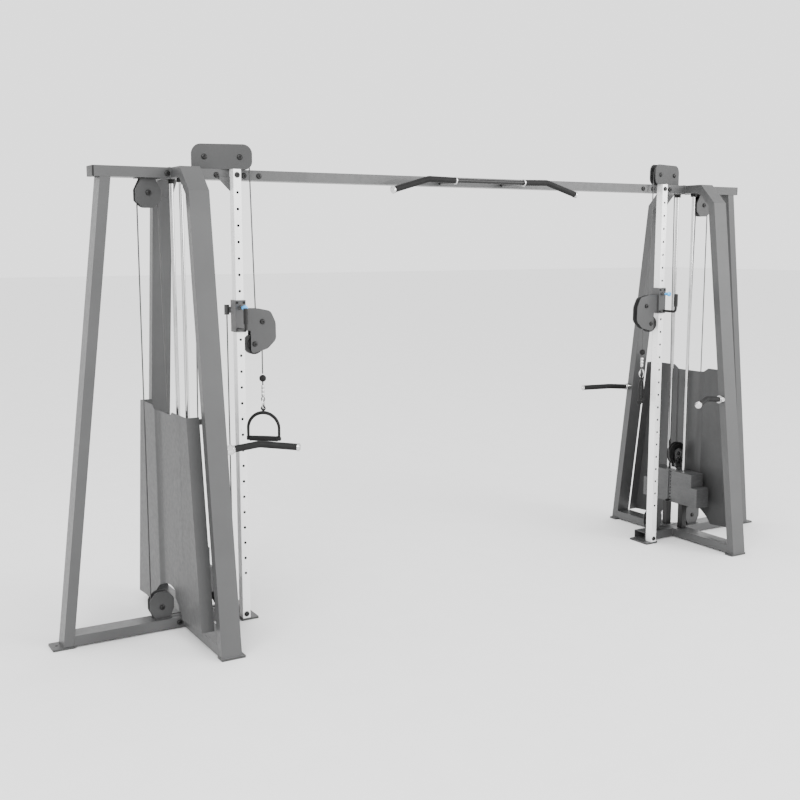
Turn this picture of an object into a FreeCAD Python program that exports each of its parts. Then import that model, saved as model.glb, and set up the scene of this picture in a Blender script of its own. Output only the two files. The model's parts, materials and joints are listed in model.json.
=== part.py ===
import FreeCAD, Part
import math
import os
from FreeCAD import Vector as V

# Cable crossover machine: two mirrored weight-stack towers joined by one overhead crossbar.
# Frame: X runs along the crossbar, the user stands on the -Y side, Z is up.
# Origin: on the floor, midway between the towers and midway between the front and rear feet.
# Shapes are drawn with Y = 0 in the plane of the overhead beams and moved by DRAWN_TO_ORIGIN on saving.
# All lengths are in millimetres. Towers are drawn on the +X side and mirrored.

SIDES = ("right", "left")

# Steel sections
BEAM_DEEP = 100.0
BEAM_THICK = 50.0
WALL = 3.0
FOOT_THICK = 10.0
BEAM_TOP = 2282.0
BEAM_LOW = BEAM_TOP - BEAM_THICK
BASE_TOP = FOOT_THICK + BEAM_THICK
HALF_DEEP = BEAM_DEEP / 2

# Bent side frame of a tower, seen along X
SIDE_IN = 1629.0
SIDE_OUT = SIDE_IN + BEAM_DEEP
SIDE_MID = (SIDE_IN + SIDE_OUT) / 2
BEND_Z = 2167.0
FRONT_BEND_Y = -298.0
FRONT_FOOT_Y = -572.0
REAR_BEND_Y = 276.0
REAR_FOOT_Y = 545.0
DRAWN_TO_ORIGIN = V(0, -(FRONT_FOOT_Y + REAR_FOOT_Y) / 2, 0)

# Overhead beams and leaning outer leg
SPLICE_X = 1315.0
SPLICE_HALF = 80.0
SPLICE_PLAY = 0.2
BASE_END_X = 1384.0
BEAM_END_X = 2100.0
CAP_THICK = 8.0
LEG_TOP_X = 2040.0
LEG_FOOT_X = 2303.0

# Perforated column of a tower
COLUMN_X = 1410.0
COLUMN_WIDE = 40.0
COLUMN_FRONT_Y = -100.0
COLUMN_BACK_Y = -50.0
COLUMN_WALL = 2.5
HOLE_PITCH = 80.0
HOLE_COUNT = 25
TOP_HOLE_Z = 2170.0
HOLE_R = 6.8

# Cable and pulleys
CABLE_R = 3.0
AXLE_R = 6.0
BORE_R = 6.05
BEARING_R = 14.0
PULLEY_WIDE = 26.0
ROLLER_PITCH_R = 27.0
SMALL_PITCH_R = 46.7
MEDIUM_PITCH_R = 51.0
LARGE_PITCH_R = 68.0
RIM = 5.5
PLATE = 5.0
PLATE_GAP = 32.0

# Top pulley housing, turned in plan so that its cable drops in front of the beam
TURN = math.radians(17.3)
ALONG = V(math.cos(TURN), math.sin(TURN), 0)
ACROSS = V(-math.sin(TURN), math.cos(TURN), 0)
TOP_PULLEY_Z = 2340.5
TOP_SPACING = 171.5
CARRIAGE_PLANE_Y = -75.0

# Carriage
PIN_Z = TOP_HOLE_Z - 7 * HOLE_PITCH
SLEEVE_LOW = PIN_Z - 122
SLEEVE_HIGH = PIN_Z + 36
SLEEVE_GAP = 1.5
SLEEVE_WALL = 6.0
UPPER_X = 1290.0
UPPER_Z = PIN_Z - 75
LOWER_X = 1332.6
LOWER_Z = PIN_Z - 186

# Cable drops and pulley places on a tower
DROP_X = LOWER_X - SMALL_PITCH_R
RISE_X = LOWER_X + 4
INNER_TOP = V(RISE_X, CARRIAGE_PLANE_Y, TOP_PULLEY_Z) + ALONG * SMALL_PITCH_R
OUTER_TOP = INNER_TOP + ALONG * TOP_SPACING
STACK_DROP = OUTER_TOP + ALONG * SMALL_PITCH_R
OUTER_X = 1830.0
OUTER_HIGH_Z = 2163.0
OUTER_LOW_Z = 118.0
COLUMN_PULLEY_X = 1492.0
ANCHOR_X = COLUMN_PULLEY_X - MEDIUM_PITCH_R
ANCHOR_LOW_Z = PIN_Z - 40
FLOAT_X = 1684.0
FLOAT_Z = 552.0

# Weight stack
STACK_X = 1686.0
STACK_DEEP = 104.0
STACK_LOW = 230.5
PLATE_LIFT = 21.0
LOWER_PLATES = 6
UPPER_PLATES = 4
UPPER_WIDE = 380.0
LOWER_WIDE = 486.0
ROD_R = 10.0
ROD_Y = 69.0
RISER_WIDE = 40.0
STEM_R = 11.0
SELECTOR_R = 5.0
STACK_TOP = STACK_LOW + PLATE_LIFT * (LOWER_PLATES + UPPER_PLATES)

# Shroud
SHEET = 2.0
SHROUD_X = 1793.0
SHROUD_INNER_X = 1777.0
SHROUD_FRONT_LOW = 120.0
SHROUD_REAR_LOW = 62.0
SHROUD_TOP = 1121.0
SHROUD_MID_TOP = 1097.0

# Handle
BALL_Z = 1246.0
BALL_R = 18.0
CABLE_TIP_Z = BALL_Z + BALL_R + 5
EYE_Z = 1092.0
HANDLE_TURN = math.radians(40)
HANDLE_DIR = V(math.cos(HANDLE_TURN), math.sin(HANDLE_TURN), 0)
HANDLE_NORMAL = V(-math.sin(HANDLE_TURN), math.cos(HANDLE_TURN), 0)
ARCH_R = 81.5
ARCH_Z = 988.0
GRIP_Z = 936.0

# Pull-up bar
PULL_ARM_X = 206.0
PULL_Y = -231.0
PULL_Z = 2253.0

X_DIR = V(1, 0, 0)
Y_DIR = V(0, 1, 0)
Z_DIR = V(0, 0, 1)


def box(x0, x1, y0, y1, z0, z1):
    return Part.makeBox(x1 - x0, y1 - y0, z1 - z0, V(x0, y0, z0))


def rod(start, end, radius):
    """A solid round bar between two points."""
    return Part.makeCylinder(radius, (end - start).Length, start, end - start)


def ring(centre, axis, outer, inner, length):
    """A tube of the given length, centred on a point."""
    axis = V(axis).normalize()
    start = centre - axis * (length / 2)
    return rod(start, start + axis * length, outer).cut(rod(start, start + axis * length, inner))


def outline(corners, place):
    """A face whose corners are (u, v, radius), put in space by place(u, v)."""
    turns = []
    for i, (u, v, radius) in enumerate(corners):
        here = V(u, v, 0)
        back = (V(*corners[i - 1][:2], 0) - here).normalize()
        ahead = (V(*corners[(i + 1) % len(corners)][:2], 0) - here).normalize()
        if radius == 0:
            turns.append((here, None, here))
            continue
        half = back.getAngle(ahead) / 2
        reach = radius / math.tan(half)
        middle = here + (back + ahead).normalize() * (radius / math.sin(half) - radius)
        turns.append((here + back * reach, middle, here + ahead * reach))
    edges = []
    for i, (start, middle, end) in enumerate(turns):
        if middle is not None:
            arc = Part.Arc(place(start.x, start.y), place(middle.x, middle.y), place(end.x, end.y))
            edges.append(arc.toShape())
        after = turns[(i + 1) % len(turns)][0]
        if (after - end).Length > 1e-6:
            edges.append(Part.LineSegment(place(end.x, end.y), place(after.x, after.y)).toShape())
    return Part.Face(Part.Wire(edges))


def slab_xz(corners, y0, y1):
    """A plate in the XZ plane from y0 to y1."""
    return outline(corners, lambda u, v: V(u, y0, v)).extrude(V(0, y1 - y0, 0))


def slab_yz(corners, x0, x1):
    """A plate in the YZ plane from x0 to x1."""
    return outline(corners, lambda u, v: V(x0, u, v)).extrude(V(x1 - x0, 0, 0))


def slab_xy(corners, z0, z1):
    return outline(corners, lambda u, v: V(u, v, z0)).extrude(V(0, 0, z1 - z0))


def bent_bar(points, radius, bend):
    """A round bar through the points, with arcs of the bend radius at the inner ones."""
    edges = []
    start = points[0]
    for before, here, after in zip(points, points[1:], points[2:]):
        back = (before - here).normalize()
        ahead = (after - here).normalize()
        half = back.getAngle(ahead) / 2
        reach = bend / math.tan(half)
        middle = here + (back + ahead).normalize() * (bend / math.sin(half) - bend)
        edges.append(Part.LineSegment(start, here + back * reach).toShape())
        edges.append(Part.Arc(here + back * reach, middle, here + ahead * reach).toShape())
        start = here + ahead * reach
    edges.append(Part.LineSegment(start, points[-1]).toShape())
    path = Part.Wire(edges)
    profile = Part.Wire(Part.makeCircle(radius, points[0], points[1] - points[0]))
    return path.makePipeShell([profile], True, True)


def bolt(head_face, direction, grip, head_r=14.0, head_h=8.0, shank_r=AXLE_R):
    """A button-head bolt: the head stands on head_face, the shank runs along direction."""
    direction = V(direction).normalize()
    head = Part.makeCone(head_r, head_r * 0.72, head_h, head_face, direction * -1)
    end = head_face + direction * grip
    nut = rod(end, end + direction * head_h, head_r * 0.9)
    return head.fuse([rod(head_face, end, shank_r), nut]).removeSplitter()


def mirrored(shape):
    return shape.mirror(V(0, 0, 0), X_DIR)


def on_side(shape, side):
    return shape if side == "right" else mirrored(shape)


def both(*shapes):
    """Solids of the right tower and their mirror images on the left tower."""
    solids = [s for shape in shapes for s in shape.Solids]
    return Part.makeCompound(solids + [mirrored(s) for s in solids])


def save(name, shape):
    shape = shape.translated(DRAWN_TO_ORIGIN)
    bad = [s for s in shape.Solids if not s.isValid()]
    print(f"{name:28s} solids {len(shape.Solids):3d}  volume {shape.Volume / 1000:10.1f} cm3  bad {len(bad)}")
    shape.exportStep(f"parts/{name}.step")


# ---------------------------------------------------------------- frame

def slope(bend_y, foot_y):
    return (foot_y - bend_y) / (BEND_Z - FOOT_THICK)


def leg_outside(bend_y, foot_y, z):
    """Y of a side-frame leg's outer face at height z."""
    return bend_y + slope(bend_y, foot_y) * (BEND_Z - z)


def leg_inside(bend_y, foot_y, z):
    """Y of the same leg's face towards the machine's middle plane."""
    width = BEAM_THICK * math.sqrt(1 + slope(bend_y, foot_y) ** 2)
    return leg_outside(bend_y, foot_y, z) - math.copysign(width, foot_y)


def front_in(z):
    return leg_inside(FRONT_BEND_Y, FRONT_FOOT_Y, z)


def rear_in(z):
    return leg_inside(REAR_BEND_Y, REAR_FOOT_Y, z)


def side_frame_outline(inset):
    """Closed outline of the bent tube, shrunk by inset on both faces; feet stay at the plates."""
    corner = BEAM_TOP - BEND_Z
    points = []
    inner = []
    for bend_y, foot_y in ((FRONT_BEND_Y, FRONT_FOOT_Y), (REAR_BEND_Y, REAR_FOOT_Y)):
        out = math.copysign(1, foot_y)
        lean = abs(slope(bend_y, foot_y))
        flat = math.hypot(1, lean)
        # outer face: foot, bend, apex
        bend_shift = inset * math.tan(math.radians(22.5) - math.atan(lean) / 2)
        outer_foot = (foot_y - out * inset * flat, FOOT_THICK)
        outer_bend = (bend_y - out * inset, BEND_Z + bend_shift - inset * lean)
        apex = (bend_y - out * (corner + inset * math.tan(math.radians(22.5))), BEAM_TOP - inset)
        # inner face: the same line moved in by the tube's thickness
        depth = BEAM_THICK - inset
        inner_foot = (foot_y - out * depth * flat, FOOT_THICK)
        inner_bend_z = BEND_Z - depth * math.tan(math.radians(22.5) - math.atan(lean) / 2)
        inner_bend = (leg_outside(bend_y, foot_y, inner_bend_z) - out * depth * flat, inner_bend_z)
        rise = (BEAM_TOP - depth) - inner_bend_z
        inner_apex = (inner_bend[0] - out * rise, BEAM_TOP - depth)
        points.append((outer_foot, outer_bend, apex))
        inner.append((inner_foot, inner_bend, inner_apex))
    front, rear = points
    front_inner, rear_inner = inner
    loop = list(front) + list(reversed(rear)) + list(rear_inner) + list(reversed(front_inner))
    return [(y, z, 0) for y, z in loop]


def side_frame():
    outer = slab_yz(side_frame_outline(0), SIDE_IN, SIDE_OUT)
    bore = slab_yz(side_frame_outline(WALL), SIDE_IN + WALL, SIDE_OUT - WALL)
    return outer.cut(bore)


def hollow_box(x0, x1, y0, y1, z0, z1, along):
    """A rectangular tube, open at both ends of the axis it runs along."""
    grow = {"x": (0, WALL, WALL), "y": (WALL, 0, WALL), "z": (WALL, WALL, 0)}[along]
    gx, gy, gz = grow
    hole = box(x0 + gx, x1 - gx, y0 + gy, y1 - gy, z0 + gz, z1 - gz)
    return box(x0, x1, y0, y1, z0, z1).cut(hole)


CABLE_WAY_R = 10.0
BOLT_HOLE_R = AXLE_R + 0.1
SPLICE_BOLTS = (SPLICE_X - 40, SPLICE_X + 40)
BEAM_BOLTS = (1497.5, 1744.0)
BOLT_Z = 2254.0
COLUMN_FOOT_BOLT_Z = 32.0
BASE_BOLT = (1752.0, 35.0)


def bolt_holes(places, y):
    """Drilled holes along Y for bolts at the given (x, z) places."""
    return Part.makeCompound([rod(V(x, y - 12, z), V(x, y + 12, z), BOLT_HOLE_R) for x, z in places])


def tower_beams():
    holes = bolt_holes([(x, BOLT_Z) for x in SPLICE_BOLTS + BEAM_BOLTS], -HALF_DEEP)
    inner = hollow_box(SPLICE_X, SIDE_IN, -HALF_DEEP, HALF_DEEP, BEAM_LOW, BEAM_TOP, "x")
    outer = hollow_box(SIDE_OUT, BEAM_END_X - CAP_THICK, -HALF_DEEP, HALF_DEEP, BEAM_LOW, BEAM_TOP, "x")
    cable_way = rod(V(STACK_DROP.x, STACK_DROP.y, BEAM_LOW), V(STACK_DROP.x, STACK_DROP.y, BEAM_TOP), CABLE_WAY_R)
    return both(inner.cut(holes).cut(cable_way), outer.cut(holes))


def splice():
    """Short tube inside the beams that joins the crossbar to a tower."""
    inset = WALL + SPLICE_PLAY
    tube = hollow_box(SPLICE_X - SPLICE_HALF, SPLICE_X + SPLICE_HALF, -HALF_DEEP + inset, HALF_DEEP - inset,
                      BEAM_LOW + inset, BEAM_TOP - inset, "x")
    return tube.cut(bolt_holes([(x, BOLT_Z) for x in SPLICE_BOLTS], -HALF_DEEP))


def crossbar():
    tube = hollow_box(-SPLICE_X, SPLICE_X, -HALF_DEEP, HALF_DEEP, BEAM_LOW, BEAM_TOP, "x")
    hole = bolt_holes([(SPLICE_BOLTS[0], BOLT_Z)], -HALF_DEEP)
    tube = tube.cut(Part.makeCompound([hole, mirrored(hole)]))
    return Part.makeCompound([tube, both(splice())])


def outer_leg():
    lean = (LEG_FOOT_X - LEG_TOP_X) / (BEAM_LOW - FOOT_THICK)
    half = BEAM_THICK / 2 * math.hypot(1, lean)
    wall = WALL * math.hypot(1, lean)
    tube = [(LEG_TOP_X - half, BEAM_LOW, 0), (LEG_TOP_X + half, BEAM_LOW, 0),
            (LEG_FOOT_X + half, FOOT_THICK, 0), (LEG_FOOT_X - half, FOOT_THICK, 0)]
    bore = [(LEG_TOP_X - half + wall, BEAM_LOW, 0), (LEG_TOP_X + half - wall, BEAM_LOW, 0),
            (LEG_FOOT_X + half - wall, FOOT_THICK, 0), (LEG_FOOT_X - half + wall, FOOT_THICK, 0)]
    outer = slab_xz(tube, -HALF_DEEP, HALF_DEEP)
    return outer.cut(slab_xz(bore, -HALF_DEEP + WALL, HALF_DEEP - WALL))


def base_beams():
    """Base tubes: one under the stack between the side-frame feet, two across it."""
    rail_end = [(front_in(FOOT_THICK), FOOT_THICK, 0), (rear_in(FOOT_THICK), FOOT_THICK, 0),
                (rear_in(BASE_TOP), BASE_TOP, 0), (front_in(BASE_TOP), BASE_TOP, 0)]
    rail = slab_yz(rail_end, SIDE_IN, SIDE_OUT)
    bore = box(SIDE_IN + WALL, SIDE_OUT - WALL, FRONT_FOOT_Y, REAR_FOOT_Y, FOOT_THICK + WALL, BASE_TOP - WALL)
    inner = hollow_box(BASE_END_X, SIDE_IN, -HALF_DEEP, HALF_DEEP, FOOT_THICK, BASE_TOP, "x")
    lean = (LEG_FOOT_X - LEG_TOP_X) / (BEAM_LOW - FOOT_THICK)
    half = BEAM_THICK / 2 * math.hypot(1, lean)
    end_low = LEG_FOOT_X - half
    end_high = end_low - lean * BEAM_THICK
    outer = slab_xz([(SIDE_OUT, FOOT_THICK, 0), (end_low, FOOT_THICK, 0),
                     (end_high, BASE_TOP, 0), (SIDE_OUT, BASE_TOP, 0)], -HALF_DEEP, HALF_DEEP)
    outer_bore = box(SIDE_OUT, LEG_FOOT_X, -HALF_DEEP + WALL, HALF_DEEP - WALL, FOOT_THICK + WALL, BASE_TOP - WALL)
    outer = outer.cut(outer_bore).cut(bolt_holes([BASE_BOLT], -HALF_DEEP))
    return both(rail.cut(bore), inner, outer)


OUTER_ANCHOR = (2350.0, 7.0)
INNER_ANCHOR = (1364.0, 6.0)


def foot_plates():
    outer_hole, inner_hole = [rod(V(x, 0, 0), V(x, 0, FOOT_THICK), r) for x, r in (OUTER_ANCHOR, INNER_ANCHOR)]
    outer = slab_xy([(2270, -HALF_DEEP - 4, 6), (2378, -HALF_DEEP - 4, 6),
                     (2378, HALF_DEEP + 4, 6), (2270, HALF_DEEP + 4, 6)], 0, FOOT_THICK).cut(outer_hole)
    inner = slab_xy([(1345, COLUMN_FRONT_Y - 6, 6), (1440, COLUMN_FRONT_Y - 6, 6),
                     (1440, HALF_DEEP + 4, 6), (1345, HALF_DEEP + 4, 6)], 0, FOOT_THICK)
    inner = inner.cut(inner_hole)
    feet = []
    for foot_y in (FRONT_FOOT_Y, REAR_FOOT_Y):
        out = math.copysign(1, foot_y)
        near = foot_y - out * 58
        far = foot_y + out * 5
        low, high = sorted((near, far))
        feet.append(slab_xy([(SIDE_IN - 18, low, 6), (SIDE_OUT + 3, low, 6),
                             (SIDE_OUT + 3, high, 6), (SIDE_IN - 18, high, 6)], 0, FOOT_THICK))
    return both(outer, inner, *feet)


def column():
    half = COLUMN_WIDE / 2
    tube = box(COLUMN_X - half, COLUMN_X + half, COLUMN_FRONT_Y, COLUMN_BACK_Y, FOOT_THICK, BEAM_TOP)
    bore = box(COLUMN_X - half + COLUMN_WALL, COLUMN_X + half - COLUMN_WALL,
               COLUMN_FRONT_Y + COLUMN_WALL, COLUMN_BACK_Y - COLUMN_WALL, FOOT_THICK, BEAM_TOP - COLUMN_WALL)
    holes = []
    for i in range(HOLE_COUNT):
        z = TOP_HOLE_Z - i * HOLE_PITCH
        holes.append(rod(V(COLUMN_X, COLUMN_FRONT_Y - 1, z), V(COLUMN_X, COLUMN_FRONT_Y + 6, z), HOLE_R))
    holes.append(bolt_holes([(COLUMN_X, BOLT_Z), (COLUMN_X, COLUMN_FOOT_BOLT_Z)], COLUMN_FRONT_Y))
    return tube.cut(bore).cut(Part.makeCompound(holes))


def column_gusset():
    edge = COLUMN_X + COLUMN_WIDE / 2
    return slab_xz([(edge, BEAM_LOW - 55, 0), (edge + 55, BEAM_LOW, 0),
                    (edge + 55, BEAM_LOW + 14, 0), (edge, BEAM_LOW + 14, 0)],
                   COLUMN_BACK_Y - 6, COLUMN_BACK_Y)


def frame_bolts():
    """Bolts that hold the beams, columns and base together; heads on the user's side."""
    front = -HALF_DEEP
    bolts = [bolt(V(x, front, BOLT_Z), Y_DIR, 2 * WALL + SPLICE_PLAY) for x in SPLICE_BOLTS]
    bolts += [bolt(V(x, front, BOLT_Z), Y_DIR, WALL) for x in BEAM_BOLTS]
    bolts += [bolt(V(COLUMN_X, COLUMN_FRONT_Y, z), Y_DIR, COLUMN_WALL) for z in (BOLT_Z, COLUMN_FOOT_BOLT_Z)]
    bolts.append(bolt(V(BASE_BOLT[0], front, BASE_BOLT[1]), Y_DIR, WALL))
    return both(*bolts)


# ---------------------------------------------------------------- pulleys

def pulley(centre, axis, pitch_r, wide=PULLEY_WIDE):
    """A grooved sheave on a bearing ring, bored for its axle bolt."""
    rim = pitch_r + RIM
    floor = pitch_r - CABLE_R - 0.5
    half = wide / 2
    web = half - 5
    groove = [(rim, -6.5), (pitch_r + 1, -3.7), (floor, -3.7), (floor, 3.7), (pitch_r + 1, 3.7), (rim, 6.5)]
    recess = []
    if floor - 9 > BEARING_R + 12:
        recess = [(BEARING_R + 9, half), (BEARING_R + 12, web), (floor - 9, web), (floor - 5, half)]
    low_side = [(r, -z) for r, z in recess]
    profile = [(BEARING_R, -half)] + low_side + [(rim, -half)] + groove + [(rim, half)]
    profile += list(reversed(recess)) + [(BEARING_R, half)]
    points = [V(r, 0, z) for r, z in profile]
    face = Part.Face(Part.makePolygon(points + points[:1]))
    sheave = face.revolve(V(0, 0, 0), Z_DIR, 360)
    bearing = ring(V(0, 0, 0), Z_DIR, BEARING_R, BORE_R, wide)
    turn = FreeCAD.Rotation(Z_DIR, V(axis))
    place = FreeCAD.Placement(centre, turn)
    shapes = []
    for shape in (sheave, bearing):
        moved = shape.copy()
        moved.Placement = place.multiply(moved.Placement)
        shapes.append(moved)
    return Part.makeCompound(shapes)


def plate_pair(corners, y_mid, holes, gap=PLATE_GAP):
    """Two equal cover plates in XZ, one each side of the cable plane, drilled for the axles."""
    plates = []
    for y0 in (y_mid - gap / 2 - PLATE, y_mid + gap / 2):
        plate = slab_xz(corners, y0, y0 + PLATE)
        for x, z in holes:
            plate = plate.cut(rod(V(x, y0 - 1, z), V(x, y0 + PLATE + 1, z), AXLE_R + 0.1))
        plates.append(plate)
    return plates


def axle(x, y_mid, z, gap=PLATE_GAP):
    reach = gap / 2 + PLATE
    return bolt(V(x, y_mid - reach, z), Y_DIR, 2 * reach, head_r=14.0)


def outer_top_bracket():
    x = OUTER_X
    low = OUTER_HIGH_Z - 71
    shape = [(x - 36, BEAM_LOW - 4, 0), (x + 36, BEAM_LOW - 4, 0), (x + 62, OUTER_HIGH_Z + 14, 12),
             (x + 62, OUTER_HIGH_Z - 38, 14), (x + 30, low, 40), (x - 30, low, 40),
             (x - 62, OUTER_HIGH_Z - 38, 14), (x - 62, OUTER_HIGH_Z + 14, 12)]
    base = box(x - 56, x + 56, -30, 30, BEAM_LOW - 4, BEAM_LOW)
    return plate_pair(shape, 0, [(x, OUTER_HIGH_Z)]) + [base]


def base_bracket(x):
    """A floor-level pulley bracket with a round top, standing on the base beam."""
    z = OUTER_LOW_Z
    shape = [(x - 40, BASE_TOP + 3, 0), (x + 40, BASE_TOP + 3, 0), (x + 62, z - 10, 18), (x + 62, z + 42, 22),
             (x + 30, z + 80, 34), (x - 30, z + 80, 34), (x - 62, z + 42, 22), (x - 62, z - 10, 18)]
    sides = [box(x - 46, x + 46, y0, y0 + 20, BASE_TOP, BASE_TOP + 3) for y0 in (-36, 16)]
    return plate_pair(shape, 0, [(x, z)]) + sides


def top_housing():
    """Two long plates in the turned plane, joined along their top edge."""
    def place(offset):
        start = INNER_TOP + ACROSS * offset
        return lambda u, v: start + ALONG * u + Z_DIR * v
    low = BEAM_TOP - TOP_PULLEY_Z
    shape = [(-61, 62, 46), (TOP_SPACING + 61, 62, 46), (TOP_SPACING + 61, low, 0), (-61, low, 38)]
    parts = []
    for offset in (-PLATE_GAP / 2 - PLATE, PLATE_GAP / 2):
        plate = outline(shape, place(offset)).extrude(ACROSS * PLATE)
        for u in (0, TOP_SPACING):
            centre = INNER_TOP + ALONG * u
            plate = plate.cut(rod(centre + ACROSS * (offset - 1), centre + ACROSS * (offset + PLATE + 1),
                                  AXLE_R + 0.1))
        parts.append(plate)
    strip = outline([(8, 57, 0), (TOP_SPACING - 8, 57, 0), (TOP_SPACING - 8, 62, 0), (8, 62, 0)],
                    place(-PLATE_GAP / 2)).extrude(ACROSS * PLATE_GAP)
    return parts + [strip]


def housing_axles():
    reach = PLATE_GAP / 2 + PLATE
    return [bolt(INNER_TOP + ALONG * u - ACROSS * reach, ACROSS, 2 * reach, head_r=14.0)
            for u in (0, TOP_SPACING)]


# ---------------------------------------------------------------- carriage

def sleeve():
    half = COLUMN_WIDE / 2 + SLEEVE_GAP
    x0, x1 = COLUMN_X - half, COLUMN_X + half
    y0, y1 = COLUMN_FRONT_Y - SLEEVE_GAP, COLUMN_BACK_Y + SLEEVE_GAP
    wall = SLEEVE_WALL
    body = box(x0 - wall, x1 + wall, y0 - wall, y1 + wall, SLEEVE_LOW, SLEEVE_HIGH)
    body = body.cut(box(x0, x1, y0, y1, SLEEVE_LOW, SLEEVE_HIGH))
    pin_hole = rod(V(COLUMN_X, y0 - wall - 1, PIN_Z), V(COLUMN_X, y0 + 1, PIN_Z), SELECTOR_R + 0.3)
    barrel = ring(V(COLUMN_X, y0 - wall - 6, PIN_Z), Y_DIR, 11, SELECTOR_R + 0.3, 12)
    return body.cut(pin_hole).fuse(barrel).removeSplitter()


def carriage_plates():
    edge = COLUMN_X - COLUMN_WIDE / 2 - SLEEVE_GAP - SLEEVE_WALL
    shape = [(edge, PIN_Z - 6, 0), (edge, SLEEVE_LOW + 4, 0), (1354, SLEEVE_LOW + 4, 4), (1354, PIN_Z - 236, 18),
             (1262, PIN_Z - 212, 40), (1216, PIN_Z - 168, 40), (1217, PIN_Z - 80, 60),
             (1244, PIN_Z - 22, 34), (1310, PIN_Z - 8, 30)]
    plates = plate_pair(shape, CARRIAGE_PLANE_Y, [(UPPER_X, UPPER_Z), (LOWER_X, LOWER_Z)])
    axles = [axle(UPPER_X, CARRIAGE_PLANE_Y, UPPER_Z), axle(LOWER_X, CARRIAGE_PLANE_Y, LOWER_Z)]
    return Part.makeCompound(plates + axles)


def lift_handle():
    front = COLUMN_FRONT_Y - SLEEVE_GAP - SLEEVE_WALL
    x = 1426
    z = PIN_Z - 108
    bar = bent_bar([V(x, front, z), V(x, -209, z), V(x, -209, PIN_Z + 2)], 8, 18)
    cover = ring(V(x, -209, PIN_Z - 38), Z_DIR, 12, 8, 76)
    return Part.makeCompound([bar, cover])


def anchor_arm():
    back = COLUMN_BACK_Y + SLEEVE_GAP + SLEEVE_WALL
    neck = box(ANCHOR_X - 19, ANCHOR_X - 5, back, 0, ANCHOR_LOW_Z + 10, ANCHOR_LOW_Z + 40)
    block = rod(V(ANCHOR_X, 0, ANCHOR_LOW_Z), V(ANCHOR_X, 0, ANCHOR_LOW_Z + 50), 13)
    return neck.fuse(block).removeSplitter()


def pop_pin():
    nose = COLUMN_FRONT_Y - 0.6
    pin = rod(V(COLUMN_X, nose, PIN_Z), V(COLUMN_X, nose - 48, PIN_Z), SELECTOR_R)
    start = nose - 34
    profile = [(0, 0), (8, 0), (9, 8), (14, 24), (15, 30), (13, 34), (0, 35)]
    points = [V(COLUMN_X + r, start - s, PIN_Z) for r, s in profile]
    face = Part.Face(Part.makePolygon(points + points[:1]))
    knob = face.revolve(V(COLUMN_X, 0, PIN_Z), Y_DIR, 360)
    return knob.fuse(pin).removeSplitter()


# ---------------------------------------------------------------- weight stack

def guide_holes(z0, z1, radius):
    return [rod(V(STACK_X, y, z0), V(STACK_X, y, z1), radius) for y in (-ROD_Y, ROD_Y)]


def weight_plates(first, count, wide):
    """Flat plates with chamfered edges and a selector slot in their inner face."""
    plates = []
    for i in range(first, first + count):
        z = STACK_LOW + i * PLATE_LIFT
        half = STACK_DEEP / 2
        plate = box(STACK_X - half, STACK_X + half, -wide / 2, wide / 2, z, z + PLATE_LIFT)
        plate = plate.makeChamfer(1.2, [e for e in plate.Edges if abs(e.tangentAt(e.FirstParameter).z) < 0.5])
        cuts = guide_holes(z, z + PLATE_LIFT, ROD_R + 0.8)
        cuts.append(rod(V(STACK_X, 0, z), V(STACK_X, 0, z + PLATE_LIFT), STEM_R + 0.6))
        slot = box(STACK_X - half, STACK_X - half + 7, -14, 14, z, z + PLATE_LIFT)
        hole_z = z + PLATE_LIFT / 2
        pin_way = rod(V(STACK_X - half, 0, hole_z), V(STACK_X, 0, hole_z), SELECTOR_R + 0.5)
        plates.append(plate.cut(Part.makeCompound(cuts)).cut(slot).cut(pin_way))
    return Part.makeCompound(plates)


def selector_stem():
    """Drilled stem, head block and the yoke that carries the floating pulley."""
    stem = rod(V(STACK_X, 0, STACK_LOW + 2), V(STACK_X, 0, STACK_TOP + 22), STEM_R)
    for i in range(LOWER_PLATES + UPPER_PLATES):
        z = STACK_LOW + (i + 0.5) * PLATE_LIFT
        stem = stem.cut(rod(V(STACK_X - 20, 0, z), V(STACK_X + 20, 0, z), SELECTOR_R + 0.5))
    head = box(STACK_X - 22, STACK_X + 22, -24, 24, STACK_TOP, STACK_TOP + 16)
    stem = stem.fuse(head).removeSplitter()
    x = FLOAT_X
    shape = [(x - 22, STACK_TOP + 16, 0), (x + 22, STACK_TOP + 16, 0), (x + 30, FLOAT_Z - 30, 20),
             (x + 30, FLOAT_Z + 16, 22), (x + 12, FLOAT_Z + 32, 14), (x - 12, FLOAT_Z + 32, 14),
             (x - 30, FLOAT_Z + 16, 22), (x - 30, FLOAT_Z - 30, 20)]
    yoke = plate_pair(shape, 0, [(x, FLOAT_Z)])
    bridge = box(x - 22, x + 22, -PLATE_GAP / 2 - PLATE, PLATE_GAP / 2 + PLATE, STACK_TOP + 16, STACK_TOP + 20)
    yoke = [plate.cut(bridge) for plate in yoke]
    return Part.makeCompound([stem, bridge.cut(stem)] + yoke + [axle(x, 0, FLOAT_Z)])


def selector_pin():
    z = STACK_LOW + PLATE_LIFT / 2
    inner = STACK_X - STACK_DEEP / 2
    pin = rod(V(inner - 20, 0, z), V(STACK_X + 6, 0, z), SELECTOR_R)
    knob = rod(V(inner - 34, 0, z), V(inner - 4, 0, z), 9)
    return knob.fuse(pin).removeSplitter()


def stack_risers():
    """Square posts that carry the stack and guide rods, with a rubber buffer on each."""
    half = RISER_WIDE / 2
    posts = []
    for y in (-ROD_Y, ROD_Y):
        post = box(STACK_X - half, STACK_X + half, y - half, y + half, BASE_TOP, STACK_LOW - 8.5)
        buffer = ring(V(STACK_X, y, STACK_LOW - 4.5), Z_DIR, 19, ROD_R, 8)
        posts += [post, buffer]
    return both(*posts)


def guide_rods():
    rods = [rod(V(STACK_X, y, STACK_LOW - 8.5), V(STACK_X, y, BEAM_LOW), ROD_R) for y in (-ROD_Y, ROD_Y)]
    return both(*rods)


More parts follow.
